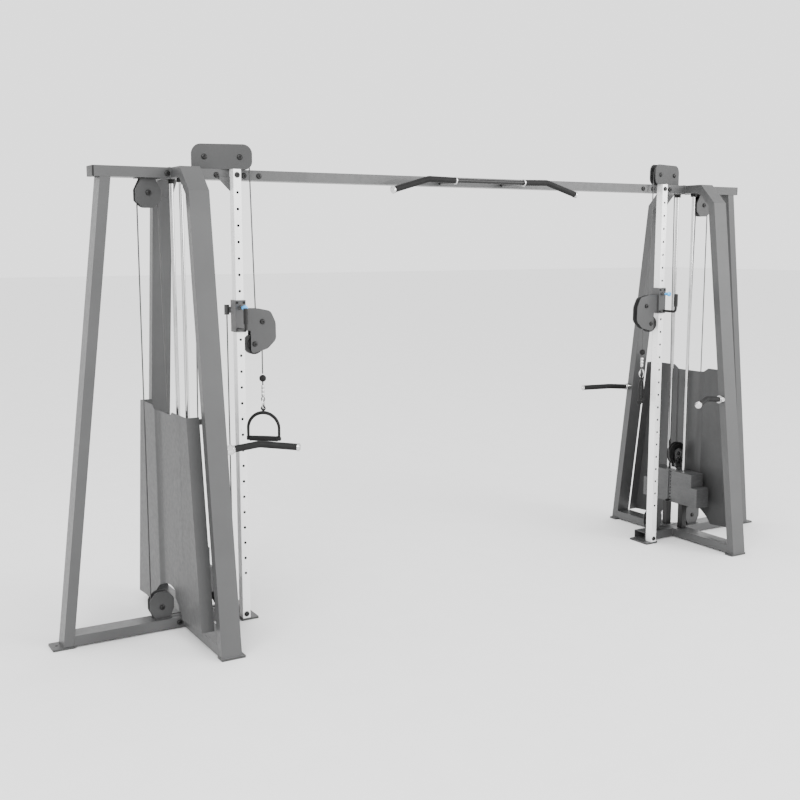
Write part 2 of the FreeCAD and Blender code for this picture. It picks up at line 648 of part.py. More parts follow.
def rod_collars():
    return both(*[ring(V(STACK_X, y, BEAM_LOW - 10), Z_DIR, 19, ROD_R, 20) for y in (-ROD_Y, ROD_Y)])


# ---------------------------------------------------------------- shroud

def shroud():
    """Folded sheet behind the outer side of the stack; its edges run along the leaning legs."""
    plan = [(FRONT_FOOT_Y, SHROUD_X), (-120, SHROUD_X), (-83, SHROUD_INNER_X),
            (83, SHROUD_INNER_X), (120, SHROUD_X), (REAR_FOOT_Y, SHROUD_X)]
    inside = [(REAR_FOOT_Y, SHROUD_X - SHEET), (119.2, SHROUD_X - SHEET), (82.2, SHROUD_INNER_X - SHEET),
              (-82.2, SHROUD_INNER_X - SHEET), (-119.2, SHROUD_X - SHEET), (FRONT_FOOT_Y, SHROUD_X - SHEET)]
    sheet = slab_xy([(x, y, 0) for y, x in plan + inside], SHROUD_REAR_LOW, SHROUD_TOP)
    front = [(front_in(z) + 25, z) for z in (SHROUD_FRONT_LOW, SHROUD_TOP)]
    rear = [(rear_in(z) - 8, z) for z in (SHROUD_REAR_LOW, SHROUD_TOP)]
    face = [(front[0][0], front[0][1], 0), (rear[0][0], rear[0][1], 0), (rear[1][0], rear[1][1], 0),
            (150, SHROUD_TOP, 0), (112, SHROUD_MID_TOP, 0), (-112, SHROUD_MID_TOP, 0),
            (-150, SHROUD_TOP, 0), (front[1][0], front[1][1], 0)]
    keep = slab_yz(face, SIDE_OUT, SHROUD_X + 1)
    sheet = sheet.common(keep)
    flanges = []
    for edge, out in ((front, 1), (rear, -1)):
        (y_low, z_low), (y_high, z_high) = edge
        band = [(y_low, z_low, 0), (y_high, z_high, 0), (y_high + out * SHEET, z_high, 0),
                (y_low + out * SHEET, z_low, 0)]
        flanges.append(slab_yz(band, SIDE_OUT + 1, SHROUD_X))
    arch_r = 262
    arch = rod(V(SIDE_OUT, 0, -43), V(SHROUD_X + 1, 0, -43), arch_r)
    return sheet.fuse(flanges).cut(arch).removeSplitter()


# ---------------------------------------------------------------- grips

GRIP_R = 16.5
BAR_R = 12.0
STAND_GRIPS = (
    (V(SIDE_IN, -426, 964), V(1470, -450, 984), V(1310, -541, 969)),
    (V(SIDE_IN, 404, 950), V(1470, 422, 963), V(1310, 512, 953)),
)


def clear_of_frame():
    """The space on the inner side of the side frame."""
    return box(0, SIDE_IN, FRONT_FOOT_Y * 2, REAR_FOOT_Y * 2, 0, BEAM_TOP)


def toward(a, b, distance):
    return a + (b - a).normalize() * distance


def grip_bars():
    bars = []
    for root, bend, tip in STAND_GRIPS:
        bars.append(bent_bar([root, bend, tip], BAR_R, 60).common(clear_of_frame()))
    return both(*bars)


def grip_sleeve(start, bend, tip, from_start, from_tip):
    """Rubber tube over a bent bar, leaving the given lengths bare."""
    a = toward(start, bend, from_start)
    b = toward(tip, bend, from_tip)
    outer = bent_bar([a, bend, b], GRIP_R, 60)
    return outer.cut(bent_bar([start, bend, tip], BAR_R, 60))


PULL_PATH = (V(PULL_ARM_X, PULL_Y, PULL_Z), V(390, -226, 2257), V(600, -218, 2197))
PULL_ARM_R = 14.0


def pull_up_bar():
    left_half = [V(-point.x, point.y, point.z) for point in reversed(PULL_PATH)]
    bar = bent_bar(left_half + list(PULL_PATH), BAR_R, 60)
    arms = [rod(V(x, -HALF_DEEP, PULL_Z), V(x, PULL_Y, PULL_Z), PULL_ARM_R) for x in (-PULL_ARM_X, PULL_ARM_X)]
    return bar.fuse(arms).removeSplitter()


def rubber_grips():
    sleeves = [grip_sleeve(root, bend, tip, 42, 8) for root, bend, tip in STAND_GRIPS]
    sleeves.append(grip_sleeve(*PULL_PATH, 24, 8))
    return both(*sleeves)


def grip_collars():
    collars = []
    for root, bend, _ in STAND_GRIPS:
        collars.append(ring(toward(root, bend, 14), bend - root, 24, BAR_R, 36).common(clear_of_frame()))
        collars.append(ring(toward(root, bend, 37), bend - root, 19, BAR_R, 8))
    start, bend, _ = PULL_PATH
    collars.append(ring(toward(start, bend, 19), bend - start, 20, BAR_R, 8))
    return both(*collars)


def end_cap(tip, bend):
    out = (tip - bend).normalize()
    cup = ring(tip - out * 3, out, 20, BAR_R, 8)
    disc = rod(tip + out, tip + out * 7, 20).fuse(rod(tip + out * 7, tip + out * 12, 14))
    return cup.fuse(disc).removeSplitter()


def grip_end_caps():
    caps = [end_cap(tip, bend) for _, bend, tip in STAND_GRIPS]
    caps.append(end_cap(PULL_PATH[2], PULL_PATH[1]))
    return both(*caps)


# ---------------------------------------------------------------- handle

def cable_end():
    """Ball stop, crimped sleeve and closed link that hang on the cable."""
    place = V(DROP_X, CARRIAGE_PLANE_Y, 0)
    ball = Part.makeSphere(BALL_R, place + Z_DIR * BALL_Z)
    collar = rod(place + Z_DIR * BALL_Z, place + Z_DIR * CABLE_TIP_Z, 6)
    stem = rod(place + Z_DIR * 1140, place + Z_DIR * BALL_Z, 8.5)
    half_high = 14.0
    wire_r = 3.5
    bend_r = 12.0
    low = EYE_Z + bend_r
    high = low + 2 * half_high
    side = HANDLE_NORMAL * bend_r
    arcs = []
    for centre_z, start in ((low, side), (high, side * -1)):
        centre = place + Z_DIR * centre_z
        circle = Part.Face(Part.Wire(Part.makeCircle(wire_r, centre + start, Z_DIR)))
        arcs.append(circle.revolve(centre, HANDLE_DIR, -180))
    legs = [rod(place + side * s + Z_DIR * low, place + side * s + Z_DIR * high, wire_r) for s in (-1, 1)]
    link = arcs[0].fuse(arcs[1:] + legs)
    return ball.fuse([collar, stem, link]).removeSplitter()


def handle():
    """D-shaped pull handle: eye, arched frame and a round rubber grip."""
    place = V(DROP_X, CARRIAGE_PLANE_Y, 0)
    eye = Part.makeTorus(9.5, 4, place + Z_DIR * EYE_Z, HANDLE_NORMAL)
    left = place - HANDLE_DIR * ARCH_R
    right = place + HANDLE_DIR * ARCH_R
    path = Part.Wire([
        Part.LineSegment(left + Z_DIR * (GRIP_Z - 8), left + Z_DIR * ARCH_Z).toShape(),
        Part.Arc(left + Z_DIR * ARCH_Z, place + Z_DIR * (ARCH_Z + ARCH_R), right + Z_DIR * ARCH_Z).toShape(),
        Part.LineSegment(right + Z_DIR * ARCH_Z, right + Z_DIR * (GRIP_Z - 8)).toShape()])
    profile = Part.Wire(Part.makeCircle(7.5, left + Z_DIR * (GRIP_Z - 8), Z_DIR))
    frame = path.makePipeShell([profile], True, True)
    neck = rod(place + Z_DIR * (ARCH_Z + ARCH_R), place + Z_DIR * (EYE_Z - 8), 6)
    ends = [rod(left + Z_DIR * GRIP_Z - HANDLE_DIR * 10, left + Z_DIR * GRIP_Z + HANDLE_DIR * 8, 11),
            rod(right + Z_DIR * GRIP_Z - HANDLE_DIR * 8, right + Z_DIR * GRIP_Z + HANDLE_DIR * 10, 11)]
    frame = frame.fuse([neck, eye] + ends).removeSplitter()
    grip = rod(left + Z_DIR * GRIP_Z + HANDLE_DIR * 8, right + Z_DIR * GRIP_Z - HANDLE_DIR * 8, 15)
    return Part.makeCompound([frame, grip])


# ---------------------------------------------------------------- cable

def wrap(centre, axis, start, angle):
    """The stretch of cable that lies on a pulley, from the start point round the axis."""
    tangent = V(axis).cross(start - centre)
    face = Part.Face(Part.Wire(Part.makeCircle(CABLE_R, start, tangent)))
    return face.revolve(centre, V(axis), angle)


def turned(vector, axis, degrees):
    return FreeCAD.Rotation(V(axis), degrees).multVec(vector)


def cable():
    """Whole cable of one tower, from the ball stop round all its pulleys to the anchor arm."""
    pieces = []
    last = [None]

    def around(centre, axis, radial, angle):
        start = centre + radial
        if last[0] is not None:
            pieces.append(rod(last[0], start, CABLE_R))
        pieces.append(wrap(centre, axis, start, angle))
        last[0] = centre + turned(radial, axis, angle)

    last[0] = V(DROP_X, CARRIAGE_PLANE_Y, CABLE_TIP_Z)
    lower = V(LOWER_X, CARRIAGE_PLANE_Y, LOWER_Z)
    upper = V(UPPER_X, CARRIAGE_PLANE_Y, UPPER_Z)
    gap = (upper - lower).Length
    line = math.degrees(math.atan2(UPPER_Z - LOWER_Z, UPPER_X - LOWER_X))
    cross = 180 - line - math.degrees(math.acos((SMALL_PITCH_R + ROLLER_PITCH_R) / gap))
    rise = math.degrees(math.atan2(RISE_X - UPPER_X - ROLLER_PITCH_R, TOP_PULLEY_Z - UPPER_Z))
    around(lower, Y_DIR, V(-SMALL_PITCH_R, 0, 0), cross)
    around(upper, Y_DIR * -1, turned(V(ROLLER_PITCH_R, 0, 0), Y_DIR, cross), cross - rise)
    around(INNER_TOP, ACROSS, turned(ALONG * -SMALL_PITCH_R, ACROSS, rise), 90 - rise)
    floating = V(FLOAT_X, 0, FLOAT_Z)
    high = V(OUTER_X, 0, OUTER_HIGH_Z)
    lean_in = math.degrees(math.atan2(FLOAT_X - LARGE_PITCH_R - STACK_DROP.x, STACK_DROP.z - FLOAT_Z))
    around(OUTER_TOP, ACROSS, Z_DIR * SMALL_PITCH_R, 90 - lean_in)
    reach = (high - floating).Length
    slant = math.degrees(math.asin((LARGE_PITCH_R + MEDIUM_PITCH_R) / reach))
    lean_out = math.degrees(math.atan2(OUTER_X - FLOAT_X, OUTER_HIGH_Z - FLOAT_Z)) - slant
    entry = turned(V(-LARGE_PITCH_R, 0, 0), Y_DIR, -lean_in)
    around(floating, Y_DIR * -1, entry, 180 - lean_in + lean_out)
    around(high, Y_DIR, turned(V(-MEDIUM_PITCH_R, 0, 0), Y_DIR, lean_out), 180 - lean_out)
    around(V(OUTER_X, 0, OUTER_LOW_Z), Y_DIR, V(MEDIUM_PITCH_R, 0, 0), 90)
    around(V(COLUMN_PULLEY_X, 0, OUTER_LOW_Z), Y_DIR, V(0, 0, -MEDIUM_PITCH_R), 90)
    pieces.append(rod(last[0], V(ANCHOR_X, 0, ANCHOR_LOW_Z), CABLE_R))
    length = sum(piece.Volume for piece in pieces) / (math.pi * CABLE_R ** 2)
    print(f"cable length of one tower: {length:.0f} mm in {len(pieces)} stretches")
    return Part.makeCompound(pieces)


# ---------------------------------------------------------------- write the parts

def write_static():
    save("tower_beams", tower_beams())
    save("crossbar", crossbar())
    cap = box(BEAM_END_X - CAP_THICK, BEAM_END_X, -HALF_DEEP, HALF_DEEP, BEAM_LOW, BEAM_TOP)
    save("beam_end_caps", both(cap))
    save("side_frames", both(side_frame()))
    save("outer_legs", both(outer_leg()))
    save("base_beams", base_beams())
    save("foot_plates", foot_plates())
    save("columns", both(column()))
    save("column_gussets", both(column_gusset()))
    save("frame_bolts", frame_bolts())
    save("top_pulley_plates", both(*top_housing()))
    save("pulley_brackets", both(*(outer_top_bracket() + base_bracket(OUTER_X) + base_bracket(COLUMN_PULLEY_X))))
    fixed = [axle(OUTER_X, 0, OUTER_HIGH_Z), axle(OUTER_X, 0, OUTER_LOW_Z), axle(COLUMN_PULLEY_X, 0, OUTER_LOW_Z)]
    save("pulley_axles", both(*(housing_axles() + fixed)))
    save("shrouds", both(shroud()))
    save("guide_rods", guide_rods())
    save("rod_collars", rod_collars())
    save("stack_risers", stack_risers())
    save("grip_bars", grip_bars())
    save("pull_up_bar", pull_up_bar())
    save("rubber_grips", rubber_grips())
    save("grip_collars", grip_collars())
    save("grip_end_caps", grip_end_caps())


def write_tower(side):
    moving = {
        "carriage_sleeve": sleeve(),
        "carriage_plates": carriage_plates(),
        "lift_handle": lift_handle(),
        "anchor_arm": anchor_arm(),
        "pop_pin": pop_pin(),
        "weight_plates": Part.makeCompound([weight_plates(0, LOWER_PLATES, LOWER_WIDE),
                                            weight_plates(LOWER_PLATES, UPPER_PLATES, UPPER_WIDE)]),
        "selector_stem": selector_stem(),
        "selector_pin": selector_pin(),
        "cable_end": cable_end(),
        "handle": handle(),
        "cable": cable(),
        "carriage_upper_pulley": pulley(V(UPPER_X, CARRIAGE_PLANE_Y, UPPER_Z), Y_DIR, ROLLER_PITCH_R),
        "carriage_lower_pulley": pulley(V(LOWER_X, CARRIAGE_PLANE_Y, LOWER_Z), Y_DIR, SMALL_PITCH_R),
        "top_inner_pulley": pulley(INNER_TOP, ACROSS, SMALL_PITCH_R),
        "top_outer_pulley": pulley(OUTER_TOP, ACROSS, SMALL_PITCH_R),
        "floating_pulley": pulley(V(FLOAT_X, 0, FLOAT_Z), Y_DIR, LARGE_PITCH_R),
        "outer_top_pulley": pulley(V(OUTER_X, 0, OUTER_HIGH_Z), Y_DIR, MEDIUM_PITCH_R),
        "outer_base_pulley": pulley(V(OUTER_X, 0, OUTER_LOW_Z), Y_DIR, MEDIUM_PITCH_R),
        "column_pulley": pulley(V(COLUMN_PULLEY_X, 0, OUTER_LOW_Z), Y_DIR, MEDIUM_PITCH_R),
    }
    for name, shape in moving.items():
        save(f"{side}_{name}", on_side(shape, side))


os.makedirs("parts", exist_ok=True)
write_static()
for tower_side in SIDES:
    write_tower(tower_side)
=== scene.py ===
import json
import math

import bmesh
import bpy
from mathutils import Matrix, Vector

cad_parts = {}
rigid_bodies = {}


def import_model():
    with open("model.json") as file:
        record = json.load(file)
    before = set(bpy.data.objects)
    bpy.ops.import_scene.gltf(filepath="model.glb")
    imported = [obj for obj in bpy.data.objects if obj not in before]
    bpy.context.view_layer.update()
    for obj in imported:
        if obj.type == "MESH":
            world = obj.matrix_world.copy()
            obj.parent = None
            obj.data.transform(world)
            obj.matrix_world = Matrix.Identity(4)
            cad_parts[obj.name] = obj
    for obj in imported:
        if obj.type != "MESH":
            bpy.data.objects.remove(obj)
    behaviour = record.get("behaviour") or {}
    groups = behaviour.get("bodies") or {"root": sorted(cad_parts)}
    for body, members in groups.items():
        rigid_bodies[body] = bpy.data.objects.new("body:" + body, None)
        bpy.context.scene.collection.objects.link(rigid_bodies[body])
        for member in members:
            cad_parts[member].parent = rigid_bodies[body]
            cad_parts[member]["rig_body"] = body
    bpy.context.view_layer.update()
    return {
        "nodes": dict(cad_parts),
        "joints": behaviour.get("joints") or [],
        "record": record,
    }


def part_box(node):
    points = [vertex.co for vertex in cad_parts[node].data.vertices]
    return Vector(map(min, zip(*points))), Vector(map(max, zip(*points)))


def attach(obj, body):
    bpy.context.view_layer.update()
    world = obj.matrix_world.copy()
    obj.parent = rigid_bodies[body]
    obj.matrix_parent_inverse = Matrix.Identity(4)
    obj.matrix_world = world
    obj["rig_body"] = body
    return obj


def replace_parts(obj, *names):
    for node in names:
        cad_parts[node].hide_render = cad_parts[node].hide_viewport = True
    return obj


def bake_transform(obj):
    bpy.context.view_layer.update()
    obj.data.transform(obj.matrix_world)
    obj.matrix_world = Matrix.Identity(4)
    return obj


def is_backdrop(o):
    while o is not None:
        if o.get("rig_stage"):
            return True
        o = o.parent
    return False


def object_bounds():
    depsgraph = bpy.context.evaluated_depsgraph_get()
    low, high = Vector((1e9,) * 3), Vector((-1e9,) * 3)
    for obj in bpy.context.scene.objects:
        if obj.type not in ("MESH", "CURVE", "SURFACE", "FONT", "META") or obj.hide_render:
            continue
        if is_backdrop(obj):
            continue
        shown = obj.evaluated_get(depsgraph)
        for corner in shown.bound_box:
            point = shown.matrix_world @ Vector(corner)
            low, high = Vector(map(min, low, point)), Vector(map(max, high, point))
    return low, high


# Cable crossover machine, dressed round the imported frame. Metres; +X to the right tower, +Z up.

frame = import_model()

SIDES = (("right", 1.0), ("left", -1.0))
Y_DIR = Vector((0, 1, 0))
Z_DIR = Vector((0, 0, 1))


# ------------------------------------------------------------------ materials

DRIFT_DETAIL = 6.0
DRIFT_STOPS = (0.3, 0.72)
PATCHES_PER_DRIFT = 9
LEAST_ROUGHNESS = 0.03
GRAIN_DETAIL = 3.0
WAVE_DISTORTION = 1.5


def material(name, colours, rough, metallic=0.0, spread=5.0, grain=700.0, bump=0.15, depth=0.0002,
             coat=0.0, rough_range=0.12, waves=0.0, specular=0.5):
    """Principled surface with slow colour drift, uneven gloss, and fine grain or waves in the bump."""
    made = bpy.data.materials.new(name)
    made.use_nodes = True
    nodes, links = made.node_tree.nodes, made.node_tree.links
    shader = nodes["Principled BSDF"]
    shader.inputs["Metallic"].default_value = metallic
    shader.inputs["Coat Weight"].default_value = coat
    shader.inputs["Specular IOR Level"].default_value = specular
    place = nodes.new("ShaderNodeTexCoord")

    drift = nodes.new("ShaderNodeTexNoise")
    drift.inputs["Scale"].default_value = spread
    drift.inputs["Detail"].default_value = DRIFT_DETAIL
    links.new(place.outputs["Object"], drift.inputs["Vector"])
    ramp = nodes.new("ShaderNodeValToRGB")
    for element, stop, colour in zip(ramp.color_ramp.elements, DRIFT_STOPS, colours):
        element.position = stop
        element.color = (*colour, 1)
    links.new(drift.outputs["Fac"], ramp.inputs["Fac"])
    links.new(ramp.outputs["Color"], shader.inputs["Base Color"])

    patch = nodes.new("ShaderNodeTexNoise")
    patch.inputs["Scale"].default_value = spread * PATCHES_PER_DRIFT
    links.new(place.outputs["Object"], patch.inputs["Vector"])
    gloss = nodes.new("ShaderNodeMapRange")
    gloss.inputs["To Min"].default_value = max(LEAST_ROUGHNESS, rough - rough_range)
    gloss.inputs["To Max"].default_value = rough + rough_range
    links.new(patch.outputs["Fac"], gloss.inputs["Value"])
    links.new(gloss.outputs["Result"], shader.inputs["Roughness"])

    if waves:
        fine = nodes.new("ShaderNodeTexWave")
        fine.inputs["Scale"].default_value = waves
        fine.inputs["Distortion"].default_value = WAVE_DISTORTION
        fine.bands_direction = "DIAGONAL"
    else:
        fine = nodes.new("ShaderNodeTexNoise")
        fine.inputs["Scale"].default_value = grain
        fine.inputs["Detail"].default_value = GRAIN_DETAIL
    links.new(place.outputs["Object"], fine.inputs["Vector"])
    relief = nodes.new("ShaderNodeBump")
    relief.inputs["Strength"].default_value = bump
    relief.inputs["Distance"].default_value = depth
    links.new(fine.outputs["Fac"], relief.inputs["Height"])
    links.new(relief.outputs["Normal"], shader.inputs["Normal"])
    return made


def greys(dark, light, tint=0.0):
    """Two greys, turned towards blue by the tint."""
    return [(value * (1 - tint), value, value * (1 + tint)) for value in (dark, light)]


MATS = {
    "frame_paint": material("frame_powder_coat", greys(0.046, 0.054, 0.01), 0.42, bump=0.22, coat=0.1),
    "cover_paint": material("cover_powder_coat", greys(0.031, 0.037, 0.01), 0.45, bump=0.25),
    "shroud_paint": material("shroud_powder_coat", greys(0.036, 0.043, 0.01), 0.5, bump=0.25, coat=0.08),
    "black_paint": material("black_powder_coat", greys(0.004, 0.007), 0.36, bump=0.2, specular=0.35),
    "plated_column": material("plated_column", greys(0.86, 0.92), 0.32, metallic=0.25, spread=3, grain=260,
                              bump=0.05),
    "bright_steel": material("chromed_steel", greys(0.5, 0.68), 0.14, metallic=1.0, bump=0.04,
                             rough_range=0.06),
    "weight_paint": material("weight_plate_coat", greys(0.05, 0.066, 0.01), 0.5, spread=14, grain=420,
                             bump=0.4, depth=0.0004),
    "steel": material("turned_steel", greys(0.42, 0.55), 0.28, metallic=1.0, grain=900, bump=0.1),
    "black_rubber": material("grip_rubber", greys(0.003, 0.006), 0.62, grain=520, bump=0.7, depth=0.0005,
                             specular=0.25),
    "black_plastic": material("black_nylon", greys(0.003, 0.006), 0.4, grain=650, bump=0.25, specular=0.3),
    "blue_knob": material("blue_knob_plastic", ((0.03, 0.32, 0.72), (0.05, 0.38, 0.8)), 0.25, coat=0.3,
                          bump=0.08),
    "cable_jacket": material("cable_jacket", greys(0.022, 0.04), 0.35, coat=0.2, bump=0.8, depth=0.0003,
                             waves=260.0),
    "weld": material("weld_bead", greys(0.058, 0.075, 0.01), 0.45, grain=240, bump=0.8, depth=0.0008),
}
SLOT_OF = {part["node"]: part["material_slot"] for part in frame["record"]["subparts"]}


# ------------------------------------------------------------------ reading the CAD nodes

SAME_POINT = 1e-6
BOLT_R = 0.014
BOLT_R_SLACK = 0.00065


def body_of(node):
    return frame["nodes"][node]["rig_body"]


def middle(node):
    low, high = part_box(node)
    return (low + high) / 2


def box_round(points):
    """Lowest and highest corner of the box round some points."""
    return (Vector([min(p[k] for p in points) for k in range(3)]),
            Vector([max(p[k] for p in points) for k in range(3)]))


def islands(node):
    """A CAD node's mesh, and its loose parts as (lowest corner, highest corner, vertex numbers)."""
    bm = bmesh.new()
    bm.from_mesh(frame["nodes"][node].data)
    bmesh.ops.remove_doubles(bm, verts=bm.verts, dist=SAME_POINT)
    bm.verts.ensure_lookup_table()
    seen, found = set(), []
    for first in bm.verts:
        if first.index in seen:
            continue
        group, todo = set(), [first]
        while todo:
            here = todo.pop()
            if here.index not in group:
                group.add(here.index)
                todo.extend(edge.other_vert(here) for edge in here.link_edges)
        seen |= group
        low, high = box_round([bm.verts[i].co for i in group])
        found.append((low, high, group))
    return bm, found


def island_boxes(node):
    bm, found = islands(node)
    bm.free()
    return [(low, high) for low, high, _ in found]


def is_bolt(low, high):
    """Bolts are told from a node's other parts by the height of their heads."""
    return abs((high.z - low.z) / 2 - BOLT_R) < BOLT_R_SLACK


# ------------------------------------------------------------------ building pieces

FLAT_ANGLE = 0.4
SHARP_ANGLE = 29.0
EDGE_SEGMENTS = 2
FACE_WEIGHT = 100
TUBE_SMOOTH = 50


def link(name, mesh, body, look, smooth):
    """Puts a mesh in the scene on a body, in a look, smooth up to an angle in degrees."""
    made = bpy.data.objects.new(name, mesh)
    bpy.context.scene.collection.objects.link(made)
    mesh.materials.clear()
    mesh.materials.append(MATS[look])
    mesh.shade_smooth()
    mesh.set_sharp_from_angle(angle=math.radians(smooth))
    if body:
        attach(made, body)
    return made


def piece(name, bm, body, look, smooth):
    """Turns a bmesh's faces outwards and links it."""
    bmesh.ops.recalc_face_normals(bm, faces=bm.faces)
    mesh = bpy.data.meshes.new(name + "_mesh")
    bm.to_mesh(mesh)
    bm.free()
    return link(name, mesh, body, look, smooth)


def finished(node, width, look=None, with_bolts=True):
    """A copy of a CAD node with its sharp edges rounded, shown in the node's place."""
    bm, found = islands(node)
    if not with_bolts:
        bolts = [bm.verts[i] for low, high, group in found if is_bolt(low, high) for i in group]
        bmesh.ops.delete(bm, geom=bolts, context="VERTS")
    bmesh.ops.dissolve_limit(bm, angle_limit=math.radians(FLAT_ANGLE), verts=bm.verts, edges=bm.edges,
                             delimit={"NORMAL"})
    sharp = [e for e in bm.edges if e.is_manifold and e.calc_face_angle(0.0) > math.radians(SHARP_ANGLE)]
    if sharp:
        bmesh.ops.bevel(bm, geom=sharp, offset=width, offset_type="OFFSET", segments=EDGE_SEGMENTS,
                        profile=0.5, affect="EDGES", clamp_overlap=True)
    bmesh.ops.triangulate(bm, faces=[f for f in bm.faces if len(f.verts) > 4])
    mesh = bpy.data.meshes.new(node + "_mesh")
    bm.to_mesh(mesh)
    bm.free()
    mesh.validate()
    made = link(node + "_finished", mesh, body_of(node), look or SLOT_OF[node], SHARP_ANGLE)
    flatten = made.modifiers.new("flat_faces", "WEIGHTED_NORMAL")
    flatten.keep_sharp = True
    flatten.weight = FACE_WEIGHT
    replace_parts(made, node)
    return made


def axes_across(axis):
    """Two directions square to an axis and to each other."""
    side = axis.orthogonal().normalized()
    return side, axis.cross(side)


def turns(count):
    """Angles evenly round a whole turn."""
    return [2 * math.pi * k / count for k in range(count)]


def ring(bm, centre, axes, radii):
    """New vertices evenly round a centre, one at each radius."""
    side, other = axes
    return [bm.verts.new(centre + (side * math.cos(a) + other * math.sin(a)) * r)
            for a, r in zip(turns(len(radii)), radii)]


def skin(bm, rings, closed=False):
    """Faces from ring to ring, and caps on open ends; a ring of one vertex is a point."""
    for a, b in zip(rings, rings[1:] + (rings[:1] if closed else [])):
        for k in range(max(len(a), len(b))):
            corners = (a[k % len(a)], a[(k + 1) % len(a)], b[(k + 1) % len(b)], b[k % len(b)])
            bm.faces.new(list(dict.fromkeys(corners)))
    if not closed:
        for end in (rings[0], rings[-1]):
            if len(end) > 2:
                bm.faces.new(end)


def tube(name, points, radius, body, look, sides=10, closed=False):
    """A swept round tube through the points; the radius is one number, or a list with one for each point."""
    radii = radius if isinstance(radius, list) else [radius] * len(points)
    bm = bmesh.new()
    rings = []
    side = None
    for i, point in enumerate(points):
        is_last = i == len(points) - 1
        before = points[i - 1] if (i or closed) else point
        after = points[(i + 1) % len(points)] if (not is_last or closed) else point
        ahead = (after - before).normalized()
        if side is None:
            side = ahead.orthogonal().normalized()
        side = (side - ahead * side.dot(ahead)).normalized()
        rings.append(ring(bm, point, (side, ahead.cross(side)), [radii[i]] * sides))
    skin(bm, rings, closed)
    return piece(name, bm, body, look, TUBE_SMOOTH)


def lathe(name, profile, start, axis, body, look, sides=40, ribs=0, rib_depth=0.0, smooth=35):
    """Turns (radius, distance along axis) points round an axis; a third value marks a ribbed point."""
    axis = axis.normalized()
    axes = axes_across(axis)
    flutes = [rib_depth * (0.5 + 0.5 * math.cos(a * ribs)) for a in turns(sides)]
    bm = bmesh.new()
    rings = []
    for radius, height, *ribbed in profile:
        centre = start + axis * height
        if radius == 0.0:
            rings.append([bm.verts.new(centre)])
        else:
            rings.append(ring(bm, centre, axes, [radius - (cut if ribbed else 0.0) for cut in flutes]))
    skin(bm, rings)
    return piece(name, bm, body, look, smooth)


def joined(name, objects):
    """Several pieces of one body and look made into one."""
    first = objects[0]
    if len(objects) > 1:
        bpy.context.view_layer.update()
        with bpy.context.temp_override(active_object=first, selected_editable_objects=objects):
            bpy.ops.object.join()
    first.name = name
    return first


# ------------------------------------------------------------------ CAD nodes with rounded edges

FRAME_EDGES = {
    "tower_beams": 0.0022, "crossbar": 0.0022, "side_frames": 0.0026, "outer_legs": 0.0026,
    "base_beams": 0.0022, "columns": 0.0012, "column_gussets": 0.001, "beam_end_caps": 0.0026,
    "top_pulley_plates": 0.0012, "pulley_brackets": 0.0012, "shrouds": 0.0007, "stack_risers": 0.0016,
    "rod_collars": 0.0016, "guide_rods": 0.001, "grip_collars": 0.0018, "grip_end_caps": 0.0022,
    "pull_up_bar": 0.002, "grip_bars": 0.001, "rubber_grips": 0.0022,
}
FOOT_EDGE = 0.0016
TOWER_EDGES = {
    "carriage_sleeve": 0.0016, "carriage_plates": 0.0012, "lift_handle": 0.001, "anchor_arm": 0.0016,
    "weight_plates": 0.0006, "selector_stem": 0.0012, "selector_pin": 0.0022,
}
PULLEYS = ("carriage_upper_pulley", "carriage_lower_pulley", "top_inner_pulley", "top_outer_pulley",
           "floating_pulley", "outer_top_pulley", "outer_base_pulley", "column_pulley")
PULLEY_EDGE = 0.0008
INSIDE_DEPTH = 0.0009


def paint_shade_inside(made, node):
    """Painted shade: black paint on the inner walls of a node's tubes and on the walls of their holes, where
    shade falls.
    """
    parts = island_boxes(node)
    made.data.materials.append(MATS["black_paint"])
    for face in made.data.polygons:
        for low, high in parts:
            depth = min(min(face.center[k] - low[k], high[k] - face.center[k]) for k in range(3))
            # painted shade: faces lying deeper inside the part than INSIDE_DEPTH take the black paint
            if depth > INSIDE_DEPTH:
                face.material_index = 1


frame_pieces = {node: finished(node, width) for node, width in FRAME_EDGES.items()}
paint_shade_inside(frame_pieces["columns"], "columns")
finished("foot_plates", FOOT_EDGE, look="cover_paint")

for side, _ in SIDES:
    for part, width in TOWER_EDGES.items():
        finished(f"{side}_{part}", width, with_bolts=False)
    for part in PULLEYS:
        finished(f"{side}_{part}", PULLEY_EDGE, with_bolts=False)


# ------------------------------------------------------------------ bolts with hex sockets

BOLT_HEAD = 0.008
WASHER = 0.0016
WASHER_SIDES = 28
HEAD_SIDES = 24
HEAD_SMOOTH = 30
# Share of the washer's radius, and height over the plate.
HEAD_PROFILE = ((0.93, WASHER), (0.92, 0.0034), (0.84, 0.0056), (0.68, 0.0070), (0.5, 0.0076))
SOCKET_SHARE = 0.36
SOCKET_HEIGHTS = (0.0076, 0.0032)
NUT_SHARE = 0.9
NUT_HEIGHT = BOLT_HEAD - 0.0003
NUT_PROFILE = ((1.0, 0.0), (1.0, NUT_HEIGHT - 0.0012), (0.9, NUT_HEIGHT), (0.55, NUT_HEIGHT),
               (0.5, NUT_HEIGHT - 0.0015))
SHANK_R = 0.006
SHANK_SIDES = 20
SHANK_SINK = 0.002
SIXTH = math.pi / 3
TOP_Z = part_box("crossbar")[1].z


def top_direction(side, sign):
    """Turn in plan of a tower's top pulley housing."""
    run = (middle(f"{side}_top_outer_pulley") - middle(f"{side}_top_inner_pulley")) * sign
    return math.atan2(run.y, run.x)


TOP_AXIS = {sign: top_direction(side, sign) for side, sign in SIDES}


def top_tilt(centre):
    """Turn in plan of the bolts in the top housings, and 0 for all others."""
    return 0.0 if centre.z < TOP_Z else TOP_AXIS[math.copysign(1.0, centre.x)]


